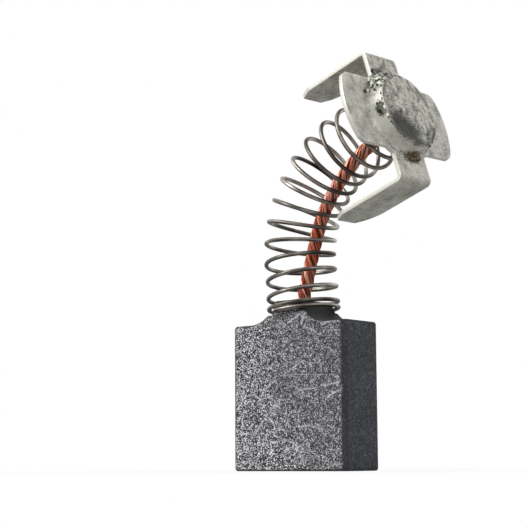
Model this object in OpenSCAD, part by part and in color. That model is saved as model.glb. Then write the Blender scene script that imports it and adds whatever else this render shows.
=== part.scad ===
// Carbon brush for a small universal motor.
// A moulded carbon block carries a ridge-shaped neck. A steel spring grips the neck and bends over
// to a stamped sheet-metal terminal, and a copper shunt braid runs inside it from the block to the cap.
// The origin is the centre of the contact face. X runs across the block, Y through it, Z up it.

/* [Carbon block] */
// Width of the block, side to side
block_w = 17; // [14:0.5:20]
// Thickness of the block, front to back
block_t = 7; // [7:0.25:8]
// Height from the contact face to the shoulders
block_h = 17.4; // [12:0.1:22]
// Bevel on the four long edges
edge_bevel = 0.7; // [0.2:0.1:1]

/* [Neck] */
// Height of the neck above the shoulders
neck_h = 2.7; // [2.5:0.1:3.2]
// Width of the flat on top of the neck
neck_top_w = 3.7; // [3.4:0.1:4.2]
// Radius of the hollow flanks
flank_r = 4; // [4:0.1:5]
// Height above the shoulders of the spring's first turn
seat_h = 1.55; // [1.4:0.05:1.7]

/* [Shunt braid] */
// Diameter over the twisted copper shunt
braid_d = 1.65; // [1.2:0.05:1.7]
// Number of wire bundles twisted together
braid_bundles = 5; // [4:1:7]
// Length in which a bundle goes once round the shunt
braid_lay = 8.5; // [7:0.5:12]
// Diameter of the hole that it is tamped into
braid_hole_d = 2.7; // [2.4:0.1:2.9]
// Depth of that hole below the top of the neck
braid_hole_depth = 8; // [5:0.5:10]
// Lean of the shunt from upright where it leaves the neck, in degrees
braid_lean = 17; // [14:1:20]
// Slope of the shunt from upright where it enters the cap, in degrees
braid_entry = 57; // [52:1:60]
// Radius of the short bend at the neck
braid_foot_r = 4; // [3:0.5:5]
// Radius of the long bend inside the spring
braid_bend_r = 18; // [16:0.5:19]

/* [Spring] */
// Diameter of the spring wire
wire_d = 0.5; // [0.4:0.05:0.55]
// Outside diameter of the spring's open turns
spring_od = 8.75; // [8.5:0.05:8.8]
// How much the first turns are stretched outwards to grip the neck
grip_stretch = 0.06; // [0.05:0.01:0.15]
// Number of turns from end to end
turns = 15.6; // [14:0.2:16.2]
// Distance between turns at the two closed ends
closed_pitch = 0.56; // [0.56:0.01:0.66]
// How much wider each open turn is spaced than the one below it
pitch_growth = 0.04; // [0:0.005:0.06]
// Lean of the spring's foot from upright, in degrees
foot_lean = -5; // [-6:1:0]
// Radius of the bend in the spring's centre line
bend_r = 13; // [11:0.5:14]

/* [Terminal] */
// Distance from the block's axis to the centre of the cap
cap_reach = 14.9; // [14:0.1:16]
// Height of the centre of the cap above the contact face
cap_rise = 40.4; // [39:0.1:42]
// Tilt of the cap's axis from upright, in degrees
cap_tilt = 71.5; // [68:0.5:75]
// Turn of the whole bend about the block's axis, in degrees
bend_turn = -5.35; // [-10:0.05:10]
// Thickness of the sheet
sheet_t = 0.5; // [0.4:0.05:0.6]
// Distance over the outsides of the two prongs
prong_span = 16.8; // [15.5:0.1:18]
// Width of the arms and prongs
prong_w = 5.4; // [4.5:0.1:6]
// Length of a prong, from the front of the sheet to its tip
prong_l = 10.9; // [8:0.1:12]
// Radius outside the bend between arm and prong
fold_r = 0.75; // [0.7:0.05:1.2]
// Radius of the arc that the wings' outer edges lie on
wing_r = 9.1; // [8:0.1:9.5]
// Width of a wing
wing_w = 8.8; // [8:0.1:9.4]
// Radius of the disc that the arms and wings grow from
disc_r = 5.7; // [5.6:0.1:6]

/* [Cap] */
// Radius of the cap where it rises from the sheet
cap_foot_r = 5.4; // [5.3:0.05:5.5]
// Radius of the cap at its shoulder
cap_top_r = 4.7; // [4.65:0.05:4.8]
// Height of the cap's shoulder above the sheet
cap_shoulder_h = 1.7; // [1.6:0.05:1.9]
// Extra height of the crown over the shoulder
cap_crown_h = 0.45; // [0.3:0.05:0.6]

/* [Hidden] */
$fn = 64;
eps = 0.01;

// Neck
neck_top_z = block_h + neck_h;
flank_span = sqrt(flank_r ^ 2 - (flank_r - neck_h) ^ 2);
neck_foot_x = neck_top_w / 2 + flank_span;
ledge_gap = 0.07;
ledge_drop = wire_d / 2 + ledge_gap;

// Centre line of the spring: a straight foot, a bend and a straight run into the cap
coil_r = (spring_od - wire_d) / 2;
grip_r = coil_r + grip_stretch;
foot_z = block_h + seat_h;
cap_seat = 0.5;
spring_start = [0, foot_z, foot_lean];
spring_route = two_runs(spring_start, bend_r, [cap_reach, cap_rise, cap_tilt], cap_seat);
axis_l = route_length(spring_route);

// Spacing of the turns: closed at both ends and slowly opening between them
end_turns = 0.9;
ramp_turns = 1;
open_turns = turns - 2 * end_turns - ramp_turns;
open_pitch = (axis_l - closed_pitch * turns - pitch_growth * open_turns ^ 2 / 2) / open_turns;
start_angle = 257;
grip_turns = 1.6;
steps_per_turn = 18;
wire_sides = 8;

// Centre line of the braid: up out of the hole, a short bend, a straight, a long bend, a straight
braid_end = 0.8;
braid_buried = braid_hole_depth - 1;
braid_start = [0, neck_top_z - braid_buried, 0];
braid_foot = [[braid_buried, 0], [arc_length(braid_foot_r, braid_lean), braid_lean]];
braid_route = concat(braid_foot,
    two_runs(walk(braid_foot, route_length(braid_foot), braid_start), braid_bend_r,
             [cap_reach, cap_rise, braid_entry], braid_end));
braid_sides = 4 * braid_bundles;
braid_step = 0.6;
plug_recess = 0.3;
drill_slope = 31;

// Prong tip: one cut corner and one swept corner
tip_cut_w = 0.8;
tip_cut_l = 1.5;
tip_sweep_w = 1.6;
tip_sweep_l = 3.6;
tip_sweep_r = (tip_sweep_w ^ 2 + tip_sweep_l ^ 2) / (2 * tip_sweep_w);
wing_corner = 0.45;
cap_round = 0.25;

// Solder: a cone cut off by the inside of the cap, with the braid's end sunk into it
solder_foot_r = 1.9;
solder_top_r = 3.5;
solder_root = 0.4;
solder_gap = 0.03;

function arc_length(r, turn) = r * turn * PI / 180;
function route_length(route) = route[0][0] + (len(route) > 1 ? route_length(rest(route)) : 0);
function rest(list) = [for (i = [1:len(list) - 1]) list[i]];

// A place is [x, z, slope from upright]. A route is a list of [length, turn] stretches.
function advance(at, length, turn) =
    let (h = at[2] + turn, r = turn == 0 ? 0 : length / turn * 180 / PI)
    turn == 0 ? [at[0] + length * sin(h), at[1] + length * cos(h), h]
    : [at[0] + r * (cos(at[2]) - cos(h)), at[1] + r * (sin(h) - sin(at[2])), h];

// Place at the distance s along a route
function walk(route, s, at) =
    let (length = route[0][0], turn = route[0][1])
    s <= length || len(route) == 1 ? advance(at, s, turn * s / length)
    : walk(rest(route), s - length, advance(at, length, turn));

// Route of straight, bend and straight from one place to another, with a given length past it
function two_runs(from, r, to, past) =
    let (turn = to[2] - from[2],
         bend = advance([0, 0, from[2]], arc_length(r, turn), turn),
         dx = to[0] - from[0] - bend[0],
         dz = to[1] - from[1] - bend[1],
         run_a = (dz * sin(to[2]) - dx * cos(to[2])) / sin(turn),
         run_b = (dx * cos(from[2]) - dz * sin(from[2])) / sin(turn))
    [[run_a, 0], [arc_length(r, turn), turn], [run_b + past, 0]];

function axis_at(s) = walk(spring_route, s, spring_start);

// Turns counted from a closed end, which fade in over ramp_turns
function faded(n) =
    n < end_turns ? 0
    : n < end_turns + ramp_turns ? (n - end_turns) ^ 2 / (2 * ramp_turns)
    : n - end_turns - ramp_turns / 2;
function opened(n) = faded(n) - faded(n - turns + 2 * end_turns + ramp_turns);
function travel(n) = closed_pitch * n + open_pitch * opened(n) + pitch_growth * opened(n) ^ 2 / 2;

// Radius of the wire's centre after n turns: stretched over the neck, then easing back
function eased(x) = x <= 0 ? 0 : x >= 1 ? 1 : x ^ 2 * (3 - 2 * x);
function wound_r(n) = grip_r - grip_stretch * eased((n - grip_turns) / ramp_turns);

// Centre of the wire after n turns
function coil_point(n) =
    let (a = start_angle + 360 * n, c = axis_at(travel(n)), r = wound_r(n))
    [c[0] + r * cos(a) * cos(c[2]), r * sin(a), c[1] - r * cos(a) * sin(c[2])];

function unit(v) = v / norm(v);

// Ring of points round the wire, square to it, with one spoke pointing away from the centre line
function wire_ring(n) =
    let (p = coil_point(n), c = axis_at(travel(n)),
         along = unit(coil_point(n + 0.005) - coil_point(n - 0.005)),
         out0 = p - [c[0], 0, c[1]],
         out = unit(out0 - (out0 * along) * along),
         side = cross(along, out))
    [for (i = [0:wire_sides - 1])
        let (b = 360 * i / wire_sides)
        p + wire_d / 2 * (cos(b) * out + sin(b) * side)];

// Ring of points round the braid at the distance s from its buried end. Each bundle's outline is
// part of a circle that touches the centre line, and the bundles turn left-handed.
function braid_ring(s) =
    let (c = walk(braid_route, s, braid_start), share = 360 / braid_bundles)
    [for (i = [0:braid_sides - 1])
        let (b = 360 * i / braid_sides,
             off_middle = b % share - share / 2,
             r = braid_d / 2 * cos(off_middle),
             turned = b - 360 * s / braid_lay,
             u = r * cos(turned),
             v = r * sin(turned))
        [c[0] + u * cos(c[2]), v, c[1] - u * sin(c[2])]];

// Closed tube through a list of rings that all have the same number of points
module tube(rings) {
    sides = len(rings[0]);
    last = len(rings) - 1;
    walls = [for (k = [0:last - 1], i = [0:sides - 1])
        let (a = k * sides + i, b = k * sides + (i + 1) % sides)
        each [[a, a + sides, b], [b, a + sides, b + sides]]];
    foot = [for (i = [0:sides - 1]) i];
    head = [for (i = [sides - 1:-1:0]) last * sides + i];
    polyhedron([for (ring = rings) each ring], concat(walls, [foot], [head]), convexity = 10);
}

// Everything above the neck leans in one plane, which is turned about the block's axis
module in_bend_plane() {
    rotate([0, 0, bend_turn]) children();
}

// Frame of the terminal: its sheet's front face is Z = 0 and the cap's axis is +Z
module at_cap() {
    in_bend_plane()
        translate([cap_reach, 0, cap_rise])
            rotate([0, cap_tilt, 0])
                children();
}

// Front outline of the block with its necked top
module block_outline() {
    translate([-block_w / 2, 0]) square([block_w, block_h]);
    difference() {
        translate([-neck_foot_x, block_h - eps]) square([2 * neck_foot_x, neck_h + eps]);
        for (side = [-1, 1])
            translate([side * neck_foot_x, block_h + flank_r]) circle(r = flank_r, $fn = 96);
    }
}

// Plan outline with the four long edges bevelled
module block_plan() {
    x = block_w / 2;
    y = block_t / 2;
    b = edge_bevel;
    polygon([[b - x, -y], [x - b, -y], [x, b - y], [x, y - b],
             [x - b, y], [b - x, y], [-x, y - b], [-x, b - y]]);
}

// Drilled hole for the shunt, with the drill's point at its foot
module braid_hole() {
    hole_r = braid_hole_d / 2;
    point_h = hole_r * tan(drill_slope);
    translate([0, 0, neck_top_z - braid_hole_depth])
        rotate_extrude()
            polygon([[0, -point_h], [hole_r, 0], [hole_r, braid_hole_depth + 1],
                     [0, braid_hole_depth + 1]]);
}

// Corners of the neck cut away square to the spring's foot, so that its first turn stands on ledges
module spring_seat_cut() {
    neck_fit_r = grip_r - ledge_drop;
    in_bend_plane()
        translate([0, 0, foot_z])
            rotate([0, foot_lean, 0])
                translate([0, 0, -ledge_drop])
                    difference() {
                        cylinder(r = neck_foot_x + 2, h = 2 * neck_h);
                        translate([0, 0, -1]) cylinder(r = neck_fit_r, h = 2 * neck_h + 2);
                    }
}

module carbon_block() {
    color("#5f6165")
        difference() {
            intersection() {
                translate([0, block_t / 2, 0])
                    rotate([90, 0, 0]) linear_extrude(block_t) block_outline();
                linear_extrude(neck_top_z + 1) block_plan();
            }
            spring_seat_cut();
            braid_hole();
        }
}

module braid() {
    steps = round(route_length(braid_route) / braid_step);
    color("#b5553a")
        in_bend_plane()
            tube([for (k = [0:steps]) braid_ring(route_length(braid_route) * k / steps)]);
}

// Carbon powder rammed into the hole round the shunt
module tamping_plug() {
    color("#3c3d40")
        difference() {
            intersection() {
                braid_hole();
                cylinder(r = braid_hole_d, h = neck_top_z - plug_recess);
            }
            translate([0, 0, neck_top_z - braid_buried])
                cylinder(r = braid_d / 2, h = braid_buried + 1);
        }
}

module spring() {
    steps = round(turns * steps_per_turn);
    color("#4a4741")
        in_bend_plane()
            tube([for (k = [0:steps]) wire_ring(turns * k / steps)]);
}

// Flat blank in front view: a disc with two arms along X and two wings along Y
module blank_outline() {
    arm_l = prong_span / 2 - fold_r;
    circle(r = disc_r);
    translate([-arm_l, -prong_w / 2]) square([2 * arm_l, prong_w]);
    intersection() {
        circle(r = wing_r, $fn = 128);
        rounded_slab(wing_w, 2 * wing_r, wing_corner);
    }
}

// Rectangle centred on the origin, whose long sides run out to cut corners
module rounded_slab(w, l, c) {
    edge_y = sqrt(wing_r ^ 2 - (w / 2) ^ 2);
    polygon([[w / 2, -edge_y + c], [w / 2, edge_y - c], [w / 2 - c, edge_y + c / 2], [w / 2 - c, l / 2],
             [c - w / 2, l / 2], [c - w / 2, edge_y + c / 2], [-w / 2, edge_y - c], [-w / 2, -edge_y + c],
             [c - w / 2, -edge_y - c / 2], [c - w / 2, -l / 2], [w / 2 - c, -l / 2],
             [w / 2 - c, -edge_y - c / 2]]);
}

// Outline of a prong, from its fold at Y = 0 to its tip
module prong_outline() {
    w = prong_w;
    l = prong_l - fold_r;
    difference() {
        translate([-w / 2, 0]) square([w, l]);
        polygon([[-w / 2 - eps, l - tip_cut_l], [-w / 2, l - tip_cut_l], [tip_cut_w - w / 2, l],
                 [tip_cut_w - w / 2, l + eps], [-w / 2 - eps, l + eps]]);
        difference() {
            translate([w / 2 - tip_sweep_w, l - tip_sweep_l])
                square([tip_sweep_w + eps, tip_sweep_l + eps]);
            translate([w / 2 - tip_sweep_r, l - tip_sweep_l]) circle(r = tip_sweep_r, $fn = 128);
        }
    }
}

// One arm's fold and the prong that hangs from it, on the +X side
module folded_prong() {
    fold_x = prong_span / 2 - fold_r;
    translate([fold_x, 0, -fold_r]) {
        rotate([90, 0, 0])
            translate([0, 0, -prong_w / 2])
                rotate_extrude(angle = 90)
                    translate([fold_r - sheet_t, 0]) square([sheet_t, prong_w]);
        translate([fold_r, 0, 0])
            rotate([-90, 0, 90])
                linear_extrude(sheet_t) prong_outline();
    }
}

// Half section of the cap: its outside, or its hollow when lowered by the sheet's thickness
module cap_section(foot_r, top_r, shoulder_h, crown_h) {
    ball_r = (top_r ^ 2 + crown_h ^ 2) / (2 * crown_h);
    c = cap_round;
    intersection() {
        translate([0, -2 * sheet_t]) square([foot_r + 1, shoulder_h + crown_h + 2 * sheet_t]);
        translate([0, shoulder_h + crown_h - ball_r]) circle(r = ball_r, $fn = 128);
        polygon([[0, -2 * sheet_t], [foot_r, -2 * sheet_t], [foot_r, 0], [top_r, shoulder_h - c],
                 [top_r - c / 3, shoulder_h - c / 3], [top_r - c, shoulder_h],
                 [top_r - c, shoulder_h + crown_h], [0, shoulder_h + crown_h]]);
    }
}

module cap_outside() {
    rotate_extrude($fn = 96)
        intersection() {
            square([cap_foot_r + 1, cap_shoulder_h + cap_crown_h + 1]);
            cap_section(cap_foot_r, cap_top_r, cap_shoulder_h, cap_crown_h);
        }
}

module cap_hollow() {
    rotate_extrude($fn = 96)
        cap_section(cap_foot_r - sheet_t, cap_top_r - sheet_t, cap_shoulder_h - sheet_t, cap_crown_h);
}

module terminal() {
    color("#a3a39b")
        at_cap()
            difference() {
                union() {
                    translate([0, 0, -sheet_t]) linear_extrude(sheet_t) blank_outline();
                    folded_prong();
                    mirror([1, 0, 0]) folded_prong();
                    cap_outside();
                }
                cap_hollow();
            }
}

// Mound of solder that fills the middle of the cap and holds the shunt's end
module solder() {
    run_in = 3;
    color("#b9b7ae")
        difference() {
            at_cap()
                intersection() {
                    cap_hollow();
                    translate([0, 0, -solder_root])
                        cylinder(r1 = solder_foot_r, r2 = solder_top_r,
                                 h = cap_shoulder_h + cap_crown_h + solder_root);
                }
            in_bend_plane()
                translate([cap_reach, 0, cap_rise])
                    rotate([0, braid_entry, 0])
                        translate([0, 0, -run_in])
                            cylinder(r = braid_d / 2 + solder_gap, h = run_in + braid_end + solder_gap);
        }
}

carbon_block();
tamping_plug();
braid();
spring();
terminal();
solder();
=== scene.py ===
"""Looks of a carbon brush for a small motor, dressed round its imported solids.

Meshes are modelled in millimetres, in the shared frame or in a piece's own, and made metres at the end.
"""
import math
from random import Random

import bmesh
import bpy
from mathutils import Matrix, Vector, kdtree, noise


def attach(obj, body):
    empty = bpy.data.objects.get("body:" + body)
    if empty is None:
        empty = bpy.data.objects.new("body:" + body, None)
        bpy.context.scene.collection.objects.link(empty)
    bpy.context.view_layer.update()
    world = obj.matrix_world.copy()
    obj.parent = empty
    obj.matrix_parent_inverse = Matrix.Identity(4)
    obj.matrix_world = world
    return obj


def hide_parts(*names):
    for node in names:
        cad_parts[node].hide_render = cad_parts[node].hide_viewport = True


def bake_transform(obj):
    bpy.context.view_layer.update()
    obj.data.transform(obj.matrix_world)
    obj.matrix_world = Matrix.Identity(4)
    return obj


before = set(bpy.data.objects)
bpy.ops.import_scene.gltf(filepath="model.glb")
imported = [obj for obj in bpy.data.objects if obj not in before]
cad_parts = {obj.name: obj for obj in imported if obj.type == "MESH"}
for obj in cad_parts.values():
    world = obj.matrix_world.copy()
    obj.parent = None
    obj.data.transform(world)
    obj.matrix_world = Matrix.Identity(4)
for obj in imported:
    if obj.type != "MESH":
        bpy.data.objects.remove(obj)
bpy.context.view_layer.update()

MM = 0.001
TO_MM = Matrix.Scale(1 / MM, 4)
TO_METRES = Matrix.Scale(MM, 4)

# The block and its neck
BLOCK_W = 17.0
BLOCK_T = 7.0
BLOCK_H = 17.4
NECK_TOP = 20.1

# Wear on the block: how far it reaches from an edge, a corner and a rub mark, how many marks a broad
# face has, and their steps and their headings in radians
EDGE_WEAR = 0.16
CHIP_REACH = 0.4
RUB_REACH = 0.17
RUB_MARKS = 46
RUB_STEP = 0.09
RUB_HEADINGS = (0.1, 0.9, 1.5, 2.3)

# The bend: everything above the neck leans in one plane, turned about the block's axis
BEND_TURN = -5.35
CAP_REACH = 14.9
CAP_RISE = 40.4
CAP_TILT = 71.5

# The spring: its wire, its stretched grip on the neck, its axis, and its turns
WIRE_D = 0.5
WIRE_NIP_L = 0.06
WIRE_NIP = 0.7
COIL_R = 4.125
GRIP_STRETCH = 0.06
GRIP_TURNS = 1.6
SPRING_FOOT = (0.0, 18.95, -5.0)
SPRING_BEND_R = 13.0
SPRING_PAST_CAP = 0.5
TURNS = 15.6
CLOSED_PITCH = 0.56
PITCH_GROWTH = 0.04
END_TURNS = 0.9
RAMP_TURNS = 1.0
START_ANGLE = 257.0
STEPS_PER_TURN = 48

# The shunt: its lay and route, and the wires drawn in each bundle, which stand for more and finer ones
SHUNT_D = 1.65
SHUNT_BUNDLES = 5
SHUNT_LAY = 8.5
SHUNT_BURIED = 7.0
SHUNT_DRAWN_BURIED = 1.5
SHUNT_LEAN = 17.0
SHUNT_FOOT_R = 4.0
SHUNT_BEND_R = 18.0
SHUNT_ENTRY = 57.0
SHUNT_PAST_CAP = 0.8
SHUNT_STEPS = 110
BUNDLE_R = 0.355
BUNDLE_WIRES = 9
BUNDLE_LAY = 20.0
COPPER_R = 0.1

# The terminal, in its own frame: the sheet's front is Z = 0, the cap's axis is +Z, the lower arm is +X
SHEET_T = 0.5
PRONG_SPAN = 16.8
PRONG_W = 5.4
PRONG_L = 10.9
FOLD_R = 0.75
FOLD_START = PRONG_SPAN / 2 - FOLD_R
FOLD_STEPS = 10
DISC_R = 5.7
WING_R = 9.1
WING_W = 8.8
WING_CORNER = 0.45
TIP_CUT = (0.8, 1.5)
TIP_SWEEP = (1.6, 3.6)
CAP_FOOT_R = 5.4
CAP_TOP_R = 4.7
CAP_SHOULDER = 1.7
CAP_SHOULDER_R = 0.2
CAP_CROWN = 0.45
CROWN_DROP = 0.02
CAP_SIDES = 128

# How finely the shapes are meshed, and how far apart their sharp edges and their stains are sampled
BLOCK_CELL = 0.13
SOLDER_CELL = 0.12
CRUST_CELL = 0.07
EDGE_STEP = 0.08
STAIN_STEP = 0.6

# The camera: its heading, rise and roll in degrees, its place, and its lens
CAMERA_TURN = 38.6
CAMERA_RISE = -7.48
CAMERA_ROLL = -0.36
CAMERA_AWAY = 178.55
CAMERA_SIDE = -4.77
CAMERA_LIFT = 24.75
SENSOR_W = 36
LENS = 100.98

BEND_PLANE = Matrix.Rotation(math.radians(BEND_TURN), 4, "Z")
CAP_FRAME = (BEND_PLANE @ Matrix.Translation((CAP_REACH, 0, CAP_RISE))
             @ Matrix.Rotation(math.radians(CAP_TILT), 4, "Y"))


# ---- Centre lines: a place is (x, z, slope from upright in degrees), a route is [(length, turn), ...]

def advance(place, length, turn):
    """The place at the end of a straight, or of an arc that turns by turn degrees."""
    x, z, slope = place
    before, after = math.radians(slope), math.radians(slope + turn)
    if turn == 0:
        return (x + length * math.sin(before), z + length * math.cos(before), slope)
    r = length / math.radians(turn)
    return (x + r * (math.cos(before) - math.cos(after)),
            z + r * (math.sin(after) - math.sin(before)), slope + turn)


def walk(route, s, place):
    """The place at the distance s along a route."""
    for length, turn in route[:-1]:
        if s <= length:
            return advance(place, s, turn * s / length)
        place = advance(place, length, turn)
        s -= length
    length, turn = route[-1]
    return advance(place, s, turn * s / length)


def route_length(route):
    return sum(length for length, turn in route)


def two_runs(start, radius, end, past):
    """Straight, bend and straight from one place to another, and a length past it."""
    turn = end[2] - start[2]
    bend_l = radius * math.radians(turn)
    bend = advance((0, 0, start[2]), bend_l, turn)
    dx = end[0] - start[0] - bend[0]
    dz = end[1] - start[1] - bend[1]
    a, b = math.radians(start[2]), math.radians(end[2])
    run_a = (dz * math.sin(b) - dx * math.cos(b)) / math.sin(b - a)
    run_b = (dx * math.cos(a) - dz * math.sin(a)) / math.sin(b - a)
    return [(run_a, 0), (bend_l, turn), (run_b + past, 0)]


def eased(x):
    x = min(1.0, max(0.0, x))
    return x * x * (3 - 2 * x)


def fading(distance, reach):
    """1 at no distance, falling evenly to 0 at the reach."""
    return max(0.0, 1 - distance / reach)


# ---- Making meshes

def selected_alone(obj):
    bpy.ops.object.select_all(action="DESELECT")
    obj.select_set(True)
    bpy.context.view_layer.objects.active = obj
    return obj


def in_scene(name, data):
    """A new object in the scene, selected alone."""
    obj = bpy.data.objects.new(name, data)
    bpy.context.scene.collection.objects.link(obj)
    return selected_alone(obj)


def new_piece(name, points, edges=(), faces=()):
    """A mesh object of its own, in millimetres."""
    mesh = bpy.data.meshes.new(name)
    mesh.from_pydata([tuple(p) for p in points], list(edges), list(faces))
    return in_scene(name, mesh)


def copy_of_node(node, name):
    """The CAD node's shape as a new piece in millimetres, with its loose triangles joined up."""
    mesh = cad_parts[node].data.copy()
    mesh.name = name
    mesh.materials.clear()
    mesh.transform(TO_MM)
    obj = in_scene(name, mesh)
    edited(bpy.ops.mesh.remove_doubles, threshold=0.002)
    return obj


def edited(operator, **settings):
    """Runs an edit mode operator on the whole of the active piece."""
    bpy.ops.object.mode_set(mode="EDIT")
    bpy.ops.mesh.select_all(action="SELECT")
    operator(**settings)
    bpy.ops.object.mode_set(mode="OBJECT")


def applied(obj, kind, **settings):
    """Adds a modifier and applies it."""
    selected_alone(obj)
    modifier = obj.modifiers.new(kind.lower(), kind)
    for key, value in settings.items():
        setattr(modifier, key, value)
    bpy.ops.object.modifier_apply(modifier=modifier.name)


def joined(pieces):
    """The pieces as one, under the first one's name."""
    bpy.ops.object.select_all(action="DESELECT")
    for piece in pieces:
        piece.select_set(True)
    bpy.context.view_layer.objects.active = pieces[0]
    bpy.ops.object.join()
    return pieces[0]


def search_tree(points):
    """A tree that finds the nearest of the points."""
    tree = kdtree.KDTree(len(points))
    for k, point in enumerate(points):
        tree.insert(point, k)
    tree.balance()
    return tree


def sharp_edges(obj, angle):
    """A search tree of points along the piece's edges that are sharper than angle degrees."""
    bm = bmesh.new()
    bm.from_mesh(obj.data)
    points = []
    for edge in bm.edges:
        if len(edge.link_faces) == 2 and edge.calc_face_angle() > math.radians(angle):
            a, b = (v.co for v in edge.verts)
            steps = max(1, round((b - a).length / EDGE_STEP))
            points += [a.lerp(b, k / steps) for k in range(steps + 1)]
    bm.free()
    return search_tree(points)


def moved(obj, move):
    """Moves each vertex by what move(place, normal) gives."""
    vertices = obj.data.vertices
    places = [v.co + move(v.co, v.normal) for v in vertices]
    vertices.foreach_set("co", [x for place in places for x in place])
    obj.data.update()


def give_floats(obj, name, values, domain="POINT"):
    obj.data.attributes.new(name, "FLOAT", domain).data.foreach_set("value", values)


def give_vectors(obj, name, values):
    flat = [x for v in values for x in v]
    obj.data.attributes.new(name, "FLOAT_VECTOR", "POINT").data.foreach_set("vector", flat)


def finished(obj, material, smooth=40, place=None):
    """Smooths the piece, gives it its material, and puts it in the shared frame in metres."""
    selected_alone(obj)
    bpy.ops.object.shade_smooth_by_angle(angle=math.radians(smooth))
    obj.data.materials.clear()
    obj.data.materials.append(material)
    obj.data.transform(TO_METRES @ (place or Matrix.Identity(4)))


# ---- Materials

def tint(code):
    """An sRGB hex colour as linear RGBA."""
    channels = [int(code[k:k + 2], 16) / 255 for k in (1, 3, 5)]
    return [c / 12.92 if c <= 0.04045 else ((c + 0.055) / 1.055) ** 2.4 for c in channels] + [1.0]


def add(tree, kind, inputs=None, stops=None, **settings):
    """Adds a node with its settings, and with values, hex colours, nodes or outputs in its inputs.

    A node given whole stands for its first output in use. A Mix node's inputs go by number: 0 is the
    share of the second, 2 and 3 are numbers, 4 and 5 vectors, 6 and 7 colours.
    """
    new = tree.nodes.new(kind)
    for key, value in settings.items():
        setattr(new, key, value)
    for key, value in (inputs or {}).items():
        if isinstance(value, bpy.types.Node):
            value = next(output for output in value.outputs if output.enabled)
        if isinstance(value, bpy.types.NodeSocket):
            tree.links.new(value, new.inputs[key])
        else:
            new.inputs[key].default_value = tint(value) if isinstance(value, str) else value
    for k, (at, code) in enumerate(stops or []):
        stop = new.color_ramp.elements[k] if k < 2 else new.color_ramp.elements.new(at)
        stop.position = at
        stop.color = tint(code)
    return new


def new_material(name):
    """A material and its node tree, emptied."""
    material = bpy.data.materials.new(name)
    material.use_nodes = True
    material.node_tree.nodes.clear()
    return material, material.node_tree


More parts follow.
